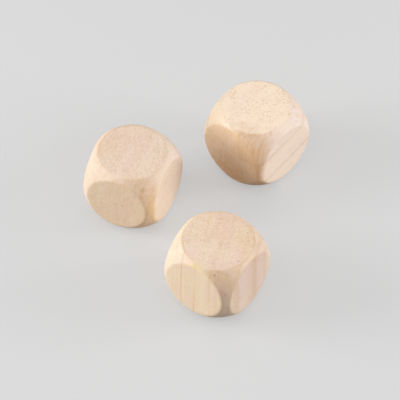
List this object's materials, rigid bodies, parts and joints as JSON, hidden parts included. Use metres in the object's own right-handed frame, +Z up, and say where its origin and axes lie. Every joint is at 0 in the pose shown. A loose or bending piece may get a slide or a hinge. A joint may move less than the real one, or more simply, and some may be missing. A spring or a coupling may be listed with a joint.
{
  "type": "giant yard dice",
  "caption": "Large plain wooden dice for throwing on a lawn: blocks turned to a ball at the corners, with flat round faces and softened rims, lying loose side by side.",
  "frame": {"origin": "on the ground, at the middle of the rectangle that the three dice lie over", "axes": "+Z up, +Y along the longer side of that rectangle from the front die towards the rear die, +X from the left die towards the rear die"},
  "size_m": [0.2574, 0.3088, 0.089],
  "materials": {
    "bare_wood": "matte"
  },
  "bodies": {
    "left_die": {"left_die": "bare_wood"},
    "rear_die": {"rear_die": "bare_wood"},
    "front_die": {"front_die": "bare_wood"}
  },
  "joints": [
    {"name": "rear_die_lift", "type": "slide", "parent": "left_die", "child": "rear_die", "axis": [0, 0, 1], "range_m": [0, 0.15]},
    {"name": "front_die_lift", "type": "slide", "parent": "left_die", "child": "front_die", "axis": [0, 0, 1], "range_m": [0, 0.15]}
  ]
}
